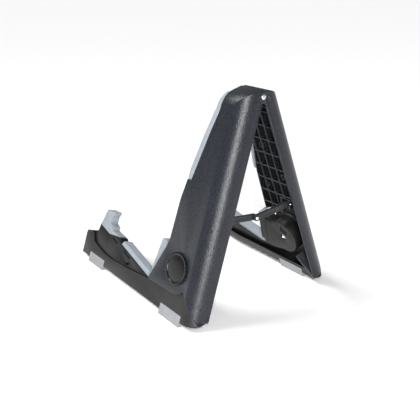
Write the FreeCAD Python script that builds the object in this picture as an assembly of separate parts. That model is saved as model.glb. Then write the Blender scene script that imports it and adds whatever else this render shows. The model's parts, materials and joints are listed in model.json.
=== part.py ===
"""Folding A-frame stand: two hinged legs, a folding brace and two swing-out cradle arms.

Each leg is drawn closed, with three measures: `u` runs forward along the hinge axis from the
rear end of the barrel, `v` runs down the leg from the hinge axis, and `w` runs outward from the
plane where the closed legs meet. The leg is then swung open and stood on the ground (Z = 0).
"""
import FreeCAD, Part
import math
import os

from FreeCAD import Placement, Rotation, Vector

# ---- the legs -------------------------------------------------------------------------------
SPLAY = 19.35            # angle of each open leg from upright, degrees
LEG_LENGTH = 278.0       # hinge axis to the rear lower corner of the leg
HEEL_HEIGHT = 2.704      # that corner above the ground
LEG_THICK = 28.0         # outer face of the leg from the parting plane
PART_GAP = 0.4           # each leg stops this short of the parting plane
WALL = 2.5               # shell wall
BACK_LEAN = 13.5         # how far the back edge runs rearward from top to bottom
FOOT_TIP = 262.5         # front tip of the foot
BACK_ROUND = 22.0        # radius of the outer back edge
ROOF_ROUND = 26.0        # radius of the shoulder under the hinge
ROOF_DROP = 15.4         # fall of the shoulder line across the leg
FRONT_TOP = 38.0         # front edge of the leg at the hinge
FRONT_SHOULDER = 54.6    # front edge just above the step
HEEL_ROUND = 2.0         # radius of the rear lower corner
SHOULDER_V = 27.0        # where the front edge starts to slope forward
ELBOW_V = 56.0           # where that slope eases
STEP_V = 116.5           # height of the step in the front edge
STEP_DEPTH = 7.0         # depth of the step, which seats the upper pad
FRONT_LOW = 65.0         # front edge between the step and the cradle

# ---- the hinge ------------------------------------------------------------------------------
BARREL_R = 7.5
BARREL_LENGTH = 39.0
HINGE_PIN_R = 2.9
REAR_KNUCKLE = 11.5      # length of the rear knuckle, on the left leg
FRONT_KNUCKLE = 10.0     # length of the front knuckle, on the left leg
KNUCKLE_GAP = 0.4        # end gap between knuckles
KNUCKLE_RELIEF = 0.6     # radial room for the other leg's knuckles
RUN_FIT = 0.05           # radial clearance of a running fit
PIN_HEAD_R = 3.5
PIN_HEAD = 1.2

# ---- the cradle pivot -----------------------------------------------------------------------
PIVOT_U = 37.0
PIVOT_V = LEG_LENGTH - 54.5
LOBE_R = 31.0            # round lower edge of the leg about the pivot
LOBE_TIP_U = 88.5        # front tip of the leg's lower lobe
POST_R = 6.0             # hollow pivot post moulded in the shell
POST_BORE_R = 1.5
WASHER_R = 11.0          # spring washer round the post
PIVOT_HEAD_R = 4.2       # head of the pivot screw
CAP_R = 20.0             # round blank cap over the pivot
CAP_PROUD = 2.0
CAP_RING = 3.0           # width of its raised rim
CAP_DISH = 0.8           # depth of the dish inside the rim
CAP_PLUG_R = 14.0        # seat of the cap's plug in the leg
CAP_SEAT = 1.2
HUB_R = 24.0             # round end of the cradle arm

# ---- the cradle arm, measured at rest -------------------------------------------------------
ARM_IN = 9.5             # inner and outer faces of the finger and post
ARM_OUT = 22.0
COVER_IN = 4.2           # inner cover plate of the hub
COVER_THICK = 2.4
COVER_HOLE_R = 4.5       # hole for the head of the pivot screw
WINDOW_TURN = 115.0      # place of the cover's window about the pivot, degrees
ARM_WALL = 2.2
FINGER_TILT = 13.2       # slope of the finger towards the cradle corner, degrees
FINGER_FRONT = FOOT_TIP - 29.1   # front upper corner of the finger
FINGER_DEPTH = 33.0
CRADLE_U = 93.6          # inner corner of the cradle, on the pad faces
CRADLE_V = LEG_LENGTH - 27.4
FINGER_RISE = (FINGER_FRONT - CRADLE_U) * math.tan(math.radians(FINGER_TILT))
FINGER_V = CRADLE_V - FINGER_RISE + 9.89
PAD_THICK = 7.2          # finger pad
PAD_LENGTH = FINGER_FRONT - CRADLE_U - 62.8
POST_PAD_THICK = 12.5
POST_HEIGHT = 51.0       # length of the post pad above the cradle corner
POST_LEAN = 8.4          # backward lean of the post, degrees
HOOK_HEIGHT = 23.0
HOOK_PIN_R = 1.2
STRIP_THICK = 1.3        # grooved strip on the inner side of the post pad
GROOVE = 1.0
PRESS_FIT = 0.02         # radial clearance of a part that is pressed in

# ---- the foot cover -------------------------------------------------------------------------
FOOT_WALL_THICK = 2.6
FOOT_IN = 2.3            # inner wall of the foot from the parting plane
FOOT_INNER_TOP = LEG_LENGTH - 13.0   # top edge of the inner wall
FOOT_SOLE = 6.0          # underside of the foot above the ground
SOLE_THICK = 2.6
TIP_TOP = LEG_LENGTH - 30.5      # top of the raised tip, down the leg
TIP_LENGTH = 14.0
TIP_IN = 7.0             # inner face of the narrow front part
INNER_WALL = 2.2
NARROW_START = FOOT_TIP - 112.5  # where the foot starts to narrow
NARROW_RUN = 40.0        # length over which it narrows
TIP_ROUND = 5.0
FOOT_GAP = 0.6           # joint line between the leg and the foot
DISC_R = 27.5            # round root of the foot's outer wall

# ---- rubber feet ----------------------------------------------------------------------------
REAR_FOOT = (11.0, 54.0)     # rear and front ends along the foot
FRONT_FOOT = (FOOT_TIP - 63.5, FOOT_TIP - 22.5)
RUBBER_RISE = 13.5           # height of the rubber up the side of the foot
RUBBER_PROUD = 0.4
RUBBER_SINK = 1.4            # how deep the flange sits in the outer wall
RUBBER_FLANGE = 1.7          # flange on the inner side

# ---- the ribbed inner panel -----------------------------------------------------------------
BRACE_V = 155.0          # end pivot of the brace, down the leg
PANEL_IN = 0.6
PANEL_PLATE = 6.0        # ribs reach from PANEL_IN to here
PANEL_THICK = 1.8
PANEL_TOP = 13.0
PANEL_END_REAR = BRACE_V - 8.0     # lower end of the panel above the brace bracket
PANEL_END_MIDDLE = BRACE_V + 17.0  # lower end in front of the bracket
PANEL_END_FRONT = BRACE_V + 22.0   # lower end at the front edge
PANEL_SCREWS = ((22, 19), (34, 72), (9, BRACE_V - 43), (44, BRACE_V - 23))
RIB = 1.2
RIB_PITCH_V = 20.3
RIB_PITCH_U = 14.0
UPRIGHTS = 4             # ribs that run down the panel

# ---- the upper pad --------------------------------------------------------------------------
UPAD_PROUD = 8.0
UPAD_STRIP = 3.4         # width of each rubber strip across the leg
UPAD_TOP = 3.0
UPAD_INNER_W = 5.0       # inner face of the inner strip
UPAD_BRIDGE = 10.0       # depth of the bridge that joins the strips at the top

# ---- the brace ------------------------------------------------------------------------------
BRACE_W = 3.7            # end pivot from the parting plane
BRACE_SAG = 6.0          # centre pivot below the end pivots
BRACE_REAR = 5.5         # rear face of the brace
BRACE_WIDTH = 9.0
BAR_GAP = 0.3            # gap between the two lapped bars
LINK_HALF = 3.9          # half height of a link
LINK_SHOULDER = 6.0      # from the end pivot to the link's full height
LINK_WIDE = 18.0         # length of a link's wide foot
LINK_END_R = 3.0
BRACE_PIN_R = 1.5
BRACE_HEAD_R = 2.6       # head of the centre pin
CHEEK = 2.6              # bracket cheek thickness
BRACKET_FLOOR = 7.8      # bracket base plate from the parting plane
BRACKET_THICK = 1.4
OPEN_PIVOT = 0.25        # clearance of the centre pin, the pivot left open
CHEEK_REAR = BRACE_REAR - 0.3
CHEEK_FRONT = BRACE_REAR + BRACE_WIDTH + 0.3

# ---- screws ---------------------------------------------------------------------------------
SCREW_R = 1.4
SCREW_HEAD_R = 2.8
SCREW_HEAD = 1.4         # height of a head
SLOT_HALF = 2.0          # half length of a driver slot
SLOT_WIDTH = 0.6
SLOT_DEPTH = 0.6

# ---- lengths of cutting shapes --------------------------------------------------------------
REAR_FAR = -60.0         # behind, in front of and below everything
FRONT_FAR = 320.0
LOW_FAR = LEG_LENGTH + 60.0
OVER = 1.0               # how far a cut runs past the face it opens

# ---- derived sizes --------------------------------------------------------------------------
SIN = math.sin(math.radians(SPLAY))
COS = math.cos(math.radians(SPLAY))
HINGE_HEIGHT = LEG_LENGTH * COS + HEEL_HEIGHT
Y_SHIFT = (FOOT_TIP - BACK_LEAN - 0.5) / 2
ARM_PLATE_OUT = ARM_OUT + FOOT_WALL_THICK
ARM_SCREW_TIP = ARM_OUT - 6.5
SINK_DEPTH = SCREW_HEAD + 0.1
SINK_START = ARM_PLATE_OUT - SINK_DEPTH
SCREW_TIP_W = PANEL_PLATE + PANEL_THICK + 6
SHELL_IN = LEG_THICK - WALL
COVER_OUT = COVER_IN + COVER_THICK
POST_END_W = COVER_OUT + 0.4
KNUCKLE_START = REAR_KNUCKLE + KNUCKLE_GAP
KNUCKLE_END = BARREL_LENGTH - FRONT_KNUCKLE - KNUCKLE_GAP


# ---- drawing helpers ------------------------------------------------------------------------
def spot(u, v, w):
    """Point of the closed leg from its three measures."""
    return Vector(w, -u, -v)


def rounded_wire(corners, place):
    """Closed wire through corners (a, b) or (a, b, radius)."""
    count = len(corners)
    rounds = []
    for index, corner in enumerate(corners):
        here = place(corner[0], corner[1])
        radius = corner[2] if len(corner) > 2 else 0
        if radius <= 0:
            rounds.append((here, here, None))
            continue
        to_last = place(*corners[index - 1][:2]).sub(here).normalize()
        to_next = place(*corners[(index + 1) % count][:2]).sub(here).normalize()
        half = to_last.getAngle(to_next) / 2
        run = radius / math.tan(half)
        bisector = to_last.add(to_next).normalize()
        middle = here + bisector * (radius / math.sin(half) - radius)
        rounds.append((here + to_last * run, here + to_next * run, middle))
    edges = []
    for index, (start, end, middle) in enumerate(rounds):
        if middle is not None:
            edges.append(Part.Arc(start, middle, end).toShape())
        following = rounds[(index + 1) % count][0]
        if following.sub(end).Length > 1e-6:
            edges.append(Part.makeLine(end, following))
    return Part.Wire(edges)


def plate(corners, w_low, w_high):
    """Prism across the leg from a side outline of (u, v[, radius]) corners."""
    wire = rounded_wire(corners, lambda u, v: spot(u, v, w_low))
    return Part.Face(wire).extrude(Vector(w_high - w_low, 0, 0))


def bar(corners, u_low, u_high):
    """Prism along the hinge axis from a front outline of (w, v[, radius]) corners."""
    wire = rounded_wire(corners, lambda w, v: spot(u_low, v, w))
    return Part.Face(wire).extrude(Vector(0, u_low - u_high, 0))


def block(u_low, u_high, v_low, v_high, w_low, w_high):
    corners = [(u_low, v_low), (u_high, v_low), (u_high, v_high), (u_low, v_high)]
    return plate(corners, w_low, w_high)


def rod_across(u, v, radius, w_low, w_high):
    """Round bar across the leg."""
    return Part.makeCylinder(radius, w_high - w_low, spot(u, v, w_low), Vector(1, 0, 0))


def rod_along(w, v, radius, u_low, u_high):
    """Round bar along the hinge axis."""
    return Part.makeCylinder(radius, u_high - u_low, spot(u_low, v, w), Vector(0, -1, 0))


def turned(point, origin, degrees):
    """Side-view point turned about an origin, positive from forward towards up."""
    angle = math.radians(degrees)
    du = point[0] - origin[0]
    dv = point[1] - origin[1]
    return (origin[0] + du * math.cos(angle) + dv * math.sin(angle),
            origin[1] - du * math.sin(angle) + dv * math.cos(angle))


def below_height(height):
    """Everything under a height above the ground, in the closed leg's measures."""
    slab = Part.makeBox(600, 900, 200, Vector(-300, -600, height - 200 - HINGE_HEIGHT))
    return slab.rotate(Vector(0, 0, 0), Vector(0, 1, 0), SPLAY)


def open_side():
    """What lies across the middle plane above the hinge once the leg is open."""
    slab = Part.makeBox(60, 120, 60, Vector(PART_GAP - 60, -100, 0))
    return slab.rotate(Vector(0, 0, 0), Vector(0, 1, 0), SPLAY)


def back_edge(v):
    """Rear edge of the leg at a distance down it."""
    return -BACK_LEAN * v / LEG_LENGTH


# ---- leg shell ------------------------------------------------------------------------------
def notch():
    """Point where the round lower edge meets the joint line with the foot."""
    angle = math.radians(45)
    return (PIVOT_U - LOBE_R * math.sin(angle), PIVOT_V + LOBE_R * math.cos(angle))


def lobe_corner():
    return (PIVOT_U - LOBE_R * math.tan(math.radians(22.5)), PIVOT_V + LOBE_R, LOBE_R)


def front_edge():
    """Front outline of the leg's outer wall, from the hinge down to the lobe tip."""
    tip_v = PIVOT_V + LOBE_R + 2
    return [(FRONT_TOP, -2 * BARREL_R),
            (FRONT_TOP - 1, SHOULDER_V, 30),
            (FRONT_SHOULDER - 11, ELBOW_V, 60),
            (FRONT_SHOULDER, STEP_V),
            (FRONT_SHOULDER + STEP_DEPTH, STEP_V),
            (FRONT_LOW, STEP_V + 26, 60),
            (FRONT_LOW, PIVOT_V - 24, 25),
            (LOBE_TIP_U, tip_v, 1.5)]


def leg_outline():
    back_low = back_edge(LEG_LENGTH)
    return (front_edge() + [lobe_corner(), notch(), (back_low, LEG_LENGTH, HEEL_ROUND),
                            (back_edge(-2 * BARREL_R), -2 * BARREL_R)])


def roof(inset):
    """Front-view limit of the shell, with its shoulder running up to the hinge barrel."""
    top = -BARREL_R + 0.1 + inset
    outer = LEG_THICK - inset
    return bar([(-1, top), (5, top, 8), (outer, top + ROOF_DROP, ROOF_ROUND - inset),
                (outer, LOW_FAR), (-1, LOW_FAR)], REAR_FAR, FRONT_FAR)


def back_limit(inset, back_inset):
    """Limit of the shell seen down the leg, with its rounded outer back edge."""
    outer = LEG_THICK - inset
    start = -40     # begins above the hinge

    def place(u, w):
        return spot(u + back_edge(start), start, w)

    wire = rounded_wire([(back_inset, -1), (back_inset, outer, BACK_ROUND - inset),
                         (FRONT_FAR - REAR_FAR, outer), (FRONT_FAR - REAR_FAR, -1)], place)
    length = LEG_LENGTH + 90
    return Part.Face(wire).extrude(Vector(0, BACK_LEAN * length / LEG_LENGTH, -length))


def joint_line(offset):
    """Slanted joint between leg and foot as its upper and lower points, moved towards the foot."""
    top = notch()
    low = (back_edge(LEG_LENGTH), LEG_LENGTH)
    run = math.hypot(low[0] - top[0], low[1] - top[1])
    shift = ((low[1] - top[1]) / run * offset, (top[0] - low[0]) / run * offset)
    return (top[0] + shift[0], top[1] + shift[1]), (low[0] + shift[0], low[1] + shift[1])


def leg_cavity():
    upper, lower = joint_line(-WALL)
    top_v = BARREL_R + WALL
    outline = [(REAR_FAR, top_v), (FRONT_FAR, top_v), (FRONT_FAR, LOW_FAR),
               (notch()[0], LOW_FAR), notch(), upper, lower, (REAR_FAR, lower[1])]
    return plate(outline, -OVER, SHELL_IN).common(roof(WALL)).common(back_limit(WALL, WALL))


def panel_screw_spots():
    """Places of the screws that hold the ribbed panel, as (u, v)."""
    return [(back_edge(v) + u, v) for u, v in PANEL_SCREWS]


def leg_shell(side):
    """Hollow leg with its hinge knuckles, screw bosses and pivot post."""
    envelope = plate(leg_outline(), PART_GAP, LEG_THICK).common(roof(0)).common(back_limit(0, 0))
    shell = envelope.cut(leg_cavity()).cut(open_side())
    past_end = BARREL_LENGTH + OVER
    other = [(-OVER, KNUCKLE_START), (KNUCKLE_END, past_end)]
    own = [(KNUCKLE_START, KNUCKLE_END)]
    if side == "left":
        other = [(REAR_KNUCKLE, BARREL_LENGTH - FRONT_KNUCKLE)]
        own = [(0, REAR_KNUCKLE), (BARREL_LENGTH - FRONT_KNUCKLE, BARREL_LENGTH)]
    for start, end in other:
        shell = shell.cut(rod_along(0, 0, BARREL_R + KNUCKLE_RELIEF, start, end))
    for start, end in own:
        shell = shell.fuse(rod_along(0, 0, BARREL_R, start, end))
    shell = shell.cut(rod_along(0, 0, HINGE_PIN_R + RUN_FIT, -OVER, past_end))
    if side == "left":
        for start, end in ((-OVER, PIN_HEAD), (BARREL_LENGTH - PIN_HEAD, past_end)):
            shell = shell.cut(rod_along(0, 0, PIN_HEAD_R + RUN_FIT, start, end))
    panel_out = PANEL_PLATE + PANEL_THICK
    for u, v in panel_screw_spots():
        boss = rod_across(u, v, SCREW_HEAD_R, panel_out, LEG_THICK - OVER)
        shell = shell.fuse(boss.common(envelope))
        shell = shell.cut(rod_across(u, v, SCREW_R, PANEL_PLATE, SCREW_TIP_W + 0.5))
    post = rod_across(PIVOT_U, PIVOT_V, POST_R, POST_END_W, LEG_THICK - OVER)
    shell = shell.fuse(post).cut(rod_across(PIVOT_U, PIVOT_V, POST_BORE_R, 0, LEG_THICK + OVER))
    seat = rod_across(PIVOT_U, PIVOT_V, CAP_PLUG_R, LEG_THICK - CAP_SEAT, LEG_THICK + OVER)
    return shell.cut(seat).removeSplitter()


# ---- leg trim -------------------------------------------------------------------------------
def panel_front():
    """Front outline of the ribbed panel, a wall inside the leg's front edge."""
    return [(FRONT_TOP - 4, PANEL_TOP), (FRONT_TOP - 3, SHOULDER_V, 30),
            (FRONT_SHOULDER - 13, ELBOW_V, 60), (FRONT_SHOULDER - 2, STEP_V),
            (FRONT_SHOULDER - 1, PANEL_END_FRONT)]


def panel_outline(grow):
    """Outline of the panel; `grow` moves its edges outward."""
    inner_back = WALL + 0.1
    front = [(u + grow,) + tuple(rest) for u, *rest in panel_front()]
    rear_low = PANEL_END_REAR
    bracket_front = BRACE_REAR + BRACE_WIDTH + CHEEK + 1
    return (front + [(FRONT_SHOULDER - 12, PANEL_END_MIDDLE),
                     (bracket_front, PANEL_END_MIDDLE),
                     (bracket_front, rear_low),
                     (back_edge(rear_low) + inner_back, rear_low),
                     (back_edge(PANEL_TOP) + inner_back, PANEL_TOP)])


def inner_panel():
    """Thin plate with a lattice of ribs on its inner side and a cup round each screw."""
    panel_out = PANEL_PLATE + PANEL_THICK
    panel = plate(panel_outline(0), PANEL_PLATE, panel_out)
    zone = plate(panel_outline(0), PANEL_IN, PANEL_PLATE)
    panel = panel.fuse(zone.cut(plate(panel_outline(-RIB * 1.5), PANEL_IN - OVER, PANEL_PLATE + OVER)))
    levels = [RIB_PITCH_V * (step + 1) for step in range(int(PANEL_END_FRONT / RIB_PITCH_V))]
    for v in levels + [PANEL_END_REAR - RIB]:
        rib = block(REAR_FAR, FRONT_FAR, v, v + RIB, PANEL_IN, PANEL_PLATE)
        panel = panel.fuse(zone.common(rib))
    for step in range(UPRIGHTS):
        u = WALL + 0.1 + step * RIB_PITCH_U
        low = back_edge(LEG_LENGTH) + u
        upright = [(u, 0), (u + RIB, 0), (low + RIB, LEG_LENGTH), (low, LEG_LENGTH)]
        panel = panel.fuse(zone.common(plate(upright, PANEL_IN, PANEL_PLATE)))
    for u, v in panel_screw_spots():
        panel = panel.fuse(rod_across(u, v, SCREW_HEAD_R + RIB, PANEL_IN + 1, PANEL_PLATE))
        panel = panel.cut(rod_across(u, v, SCREW_HEAD_R + 0.1, PANEL_IN - OVER, PANEL_PLATE - 0.4))
        panel = panel.cut(rod_across(u, v, SCREW_R + 0.2, PANEL_IN, panel_out + OVER))
    return panel.removeSplitter()


def driver_cross(u, v, half, width, head_w, depth):
    """Cross recess of a screw head whose face lies at head_w."""
    across = block(u - half, u + half, v - width / 2, v + width / 2, head_w - OVER, head_w + depth)
    down = block(u - width / 2, u + width / 2, v - half, v + half, head_w - OVER, head_w + depth)
    return across.fuse(down)


def screw_across(u, v, head_w, tip_w):
    """Pan-head screw driven outward: the head lies from head_w, the tip ends at tip_w."""
    head = rod_across(u, v, SCREW_HEAD_R, head_w, head_w + SCREW_HEAD)
    shank = rod_across(u, v, SCREW_R, head_w + SCREW_HEAD, tip_w)
    return head.fuse(shank).cut(driver_cross(u, v, SLOT_HALF, SLOT_WIDTH, head_w, SLOT_DEPTH))


def panel_screws():
    head_w = PANEL_PLATE - SCREW_HEAD - 0.4
    return Part.makeCompound([screw_across(u, v, head_w, SCREW_TIP_W)
                              for u, v in panel_screw_spots()])


def pad_outline(back, proud):
    """Side outline of the upper pad on the front edge of a wall."""
    low = STEP_V - 0.2
    return [(FRONT_TOP - back, UPAD_TOP), (FRONT_TOP + 4, UPAD_TOP, 3),
            (FRONT_TOP + proud - 1, SHOULDER_V - 3, 40), (FRONT_SHOULDER + proud - 9, ELBOW_V + 2, 60),
            (FRONT_SHOULDER + proud, low - 9.8, 40), (FRONT_SHOULDER + proud - 0.6, low),
            (FRONT_SHOULDER - back, low), (FRONT_SHOULDER - 11 - back, ELBOW_V, 60),
            (FRONT_TOP - 1 - back, SHOULDER_V, 30)]


def upper_pad():
    """Rubber strip on each wall's front edge, joined by a bridge at the top."""
    outer_w = LEG_THICK - 1
    body = plate(pad_outline(0, UPAD_PROUD), UPAD_INNER_W, outer_w).common(roof(0.6))
    slot = block(REAR_FAR, FRONT_FAR, UPAD_TOP + UPAD_BRIDGE, LEG_LENGTH,
                 UPAD_INNER_W + UPAD_STRIP, outer_w - UPAD_STRIP)
    body = body.cut(slot)
    wall = plate(leg_outline(), -2, LEG_THICK + 2)
    panel = plate(panel_outline(0.2), -1, PANEL_PLATE + PANEL_THICK + 0.2)
    barrel = rod_along(0, 0, BARREL_R + KNUCKLE_RELIEF, 0, BARREL_LENGTH + OVER)
    return body.cut(wall).cut(panel).cut(barrel).removeSplitter()


def boss_cap():
    """Round blank cap with a raised ring, plugged into its seat over the pivot."""
    top = LEG_THICK + CAP_PROUD
    disc = rod_across(PIVOT_U, PIVOT_V, CAP_R, LEG_THICK, top)
    disc = disc.makeChamfer(0.6, [edge for edge in disc.Edges if edge.BoundBox.XMin > top - 0.1])
    dish = rod_across(PIVOT_U, PIVOT_V, CAP_R - CAP_RING, top - CAP_DISH, top + OVER)
    plug = rod_across(PIVOT_U, PIVOT_V, CAP_PLUG_R - 0.1, LEG_THICK - CAP_SEAT + 0.1, top - 1.5)
    return disc.cut(dish).fuse(plug).removeSplitter()


# ---- cradle arm -----------------------------------------------------------------------------
PIVOT = (PIVOT_U, PIVOT_V)
CORNER = (CRADLE_U, CRADLE_V)


def from_corner(along, away, lean):
    """Point from the cradle corner: along a line at `lean` above forward, then away below it."""
    return turned((CRADLE_U + along, CRADLE_V + away), CORNER, lean)


def finger_point(along, below):
    return from_corner(along, below, FINGER_TILT)


def post_point(up, behind):
    return from_corner(up, -behind, 90 + POST_LEAN)


def arm_outline():
    seat = PAD_THICK
    front = (FINGER_FRONT, FINGER_V)
    return [front, (FINGER_FRONT + 9, FINGER_V + FINGER_DEPTH, 2),
            (FINGER_FRONT - 20, FINGER_V + FINGER_DEPTH + 12, 12),
            (CRADLE_U + 20, CRADLE_V + 20, 30), (PIVOT_U + 10, PIVOT_V + HUB_R + 8, 20),
            (PIVOT_U, PIVOT_V, 0), post_point(POST_HEIGHT - 3, POST_PAD_THICK + 10),
            post_point(POST_HEIGHT - 1, POST_PAD_THICK),
            post_point(-seat + 1, POST_PAD_THICK), finger_point(0, seat),
            finger_point(PAD_LENGTH + 1, seat), finger_point(PAD_LENGTH + 8, 2.4)]


def arm_blank():
    """The arm before its hub, hollows and holes are added."""
    return plate(arm_outline(), ARM_IN, ARM_OUT)


def cradle_arm():
    """Finger, post and hub in one moulding, hollow from its outer side."""
    hub = rod_across(PIVOT_U, PIVOT_V, HUB_R, COVER_OUT, ARM_OUT)
    arm = arm_blank().fuse(hub).cut(below_height(FOOT_SOLE + SOLE_THICK + 0.3))
    hollow = [(FINGER_FRONT - 16, FINGER_V + 9), (FINGER_FRONT - 12, FINGER_V + FINGER_DEPTH - 4, 3),
              (FINGER_FRONT - 40, FINGER_V + FINGER_DEPTH + 4, 6),
              (CRADLE_U + 28, CRADLE_V + 12, 4), (CRADLE_U + 40, CRADLE_V + 4, 3)]
    arm = arm.cut(plate(hollow, ARM_IN + ARM_WALL, ARM_OUT - ARM_WALL))
    for start, length in ((PAD_LENGTH + 11, 16), (PAD_LENGTH - 28, 20)):
        end = start + length
        slit = [finger_point(start, PAD_THICK + 4), finger_point(end, PAD_THICK + 3),
                finger_point(end, PAD_THICK + 5.4), finger_point(start, PAD_THICK + 6.4)]
        arm = arm.cut(plate(slit, ARM_OUT - ARM_WALL - OVER, ARM_OUT + OVER))
    arm = arm.cut(rod_across(PIVOT_U, PIVOT_V, POST_R + RUN_FIT, 0, ARM_OUT + OVER))
    for u, v in arm_screw_spots():
        arm = arm.cut(rod_across(u, v, SCREW_R, ARM_SCREW_TIP - 0.5, ARM_OUT + OVER))
    pin = hook_pin_spot()
    arm = arm.cut(rod_across(pin[0], pin[1], HOOK_PIN_R + PRESS_FIT, 0, ARM_OUT + OVER))
    return arm.cut(hook_blank()).removeSplitter()


def arm_screw_spots():
    """Screws that join the foot cover to the arm, as (u, v)."""
    return [(PIVOT_U + 8, PIVOT_V - 17), (PIVOT_U - 17, PIVOT_V + 8), (PIVOT_U + 14, PIVOT_V + 15),
            finger_point(PAD_LENGTH - 25, 22)]


def arm_screws():
    """Countersunk screws set in the foot cover's outer wall."""
    screws = []
    for u, v in arm_screw_spots():
        shank = rod_across(u, v, SCREW_R, ARM_SCREW_TIP, SINK_START + 0.5)
        head = Part.makeCone(SCREW_R, SCREW_HEAD_R, SCREW_HEAD, spot(u, v, SINK_START), Vector(1, 0, 0))
        slot = block(u - SLOT_HALF, u + SLOT_HALF, v - SLOT_WIDTH / 2, v + SLOT_WIDTH / 2,
                     ARM_PLATE_OUT - SLOT_DEPTH, ARM_PLATE_OUT + OVER)
        screws.append(shank.fuse(head).cut(slot))
    return Part.makeCompound(screws)


def post_band(top, low, behind, depth):
    """Outline of a band along the post, from `top` to `low` above the cradle corner."""
    return [post_point(top, behind), post_point(top, behind + depth),
            post_point(low, behind + depth), post_point(low, behind)]


def hub_cover():
    """Plate over the inner side of the hub and post, with a window beside the screw."""
    wing = [(PIVOT_U + 6, PIVOT_V - HUB_R + 2), post_point(POST_HEIGHT - 4, POST_PAD_THICK + 9),
            post_point(POST_HEIGHT - 2, POST_PAD_THICK), post_point(2, POST_PAD_THICK),
            (PIVOT_U + 26, PIVOT_V + HUB_R + 4, 6), (PIVOT_U + 4, PIVOT_V + HUB_R - 1)]
    disc = rod_across(PIVOT_U, PIVOT_V, HUB_R, COVER_IN, COVER_OUT)
    skirt = plate(wing, COVER_OUT, ARM_IN).cut(rod_across(PIVOT_U, PIVOT_V, HUB_R + 0.1, 0, ARM_OUT))
    strip_in = ARM_IN - STRIP_THICK
    strip = plate(post_band(POST_HEIGHT - 2, 2, 1, POST_PAD_THICK), strip_in, ARM_IN)
    cover = disc.fuse([plate(wing, COVER_IN, COVER_OUT), skirt, strip])
    cover = cover.cut(rod_across(PIVOT_U, PIVOT_V, COVER_HOLE_R, 0, COVER_OUT + OVER))
    window = [turned((PIVOT_U + 8, PIVOT_V - 4), PIVOT, WINDOW_TURN),
              turned((PIVOT_U + 19, PIVOT_V - 5), PIVOT, WINDOW_TURN),
              turned((PIVOT_U + 19, PIVOT_V + 8), PIVOT, WINDOW_TURN),
              turned((PIVOT_U + 8, PIVOT_V + 8), PIVOT, WINDOW_TURN)]
    cover = cover.cut(plate(window, COVER_IN - OVER, COVER_OUT - 0.6))
    for offset in (3.0, 7.0):
        groove = post_band(POST_HEIGHT, 6, POST_PAD_THICK + offset, GROOVE)
        cover = cover.cut(plate(groove, COVER_IN - OVER, COVER_IN + 0.9))
    for offset in (4.0, 8.0):
        groove = post_band(POST_HEIGHT, 4, offset, GROOVE)
        cover = cover.cut(plate(groove, strip_in - OVER, strip_in + 0.7))
    return cover.removeSplitter()


def finger_pad():
    """Rubber pad along the finger, with a soft upper edge."""
    outline = [finger_point(0, 0), finger_point(PAD_LENGTH - 2, 0) + (2.5,),
               finger_point(PAD_LENGTH + 1.5, PAD_THICK - 0.1), finger_point(0.1, PAD_THICK - 0.1),
               post_point(-PAD_THICK + 1.1, 0.1)]
    return plate(outline, ARM_IN, ARM_OUT).cut(arm_blank())


def post_pad():
    """Rubber pad on the front of the post, down to the cradle corner."""
    outline = [post_point(0.1, 0.1), post_point(POST_HEIGHT, 0.1) + (2,),
               post_point(POST_HEIGHT + 1, POST_PAD_THICK - 0.1) + (1,),
               post_point(-PAD_THICK + 1.1, POST_PAD_THICK - 0.1), post_point(-PAD_THICK + 1.1, 0.2)]
    return plate(outline, ARM_IN, ARM_OUT).cut(arm_blank())


def hook_points():
    """Outline of the rubber hook: front, tip, hollow rear face and small ledge."""
    front = FINGER_FRONT
    tip_v = FINGER_V - HOOK_HEIGHT
    return [(front, FINGER_V), (front - 8, tip_v + 1, 2.5), (front - 27.5, tip_v - 0.5, 1.5),
            (front - 23, tip_v + 9, 8), (front - 23, FINGER_V - 6, 3), (front - 31, FINGER_V - 3, 1.5),
            (front - 31.5, FINGER_V + 2.2, 1), finger_point(PAD_LENGTH + 11, 2.2),
            (front - 26, FINGER_V + 9, 1), (front - 1, FINGER_V + 3.4)]


def hook_blank():
    return plate(hook_points(), ARM_IN - OVER, ARM_OUT + OVER)


def hook_pin_spot():
    return (FINGER_FRONT - 9.5, FINGER_V - 13.5)


def hook_pad():
    pad = plate(hook_points(), ARM_IN, ARM_OUT)
    u, v = hook_pin_spot()
    return pad.cut(rod_across(u, v, HOOK_PIN_R + PRESS_FIT, 0, ARM_OUT + OVER))


def hook_pin():
    u, v = hook_pin_spot()
    return rod_across(u, v, HOOK_PIN_R, ARM_IN + 0.3, ARM_OUT - 0.3)


def wave_washer():
    """Spring washer that takes up the play between the leg wall and the foot cover."""
    washer = rod_across(PIVOT_U, PIVOT_V, WASHER_R, ARM_PLATE_OUT + 0.1, SHELL_IN - 0.1)
    return washer.cut(rod_across(PIVOT_U, PIVOT_V, POST_R + RUN_FIT, 0, LEG_THICK))


def pivot_screw():
    """Cross-head screw on the pivot axis, its head in the hub cover's hole."""
    face = COVER_IN + 0.6
    head = rod_across(PIVOT_U, PIVOT_V, PIVOT_HEAD_R, face, POST_END_W)
    neck = rod_across(PIVOT_U, PIVOT_V, POST_BORE_R - PRESS_FIT, face + 1, LEG_THICK - 4)
    cross = driver_cross(PIVOT_U, PIVOT_V, SLOT_HALF + 1, SLOT_WIDTH + 0.4, face, SLOT_DEPTH + 0.3)
    return head.fuse(neck).cut(cross)


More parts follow.
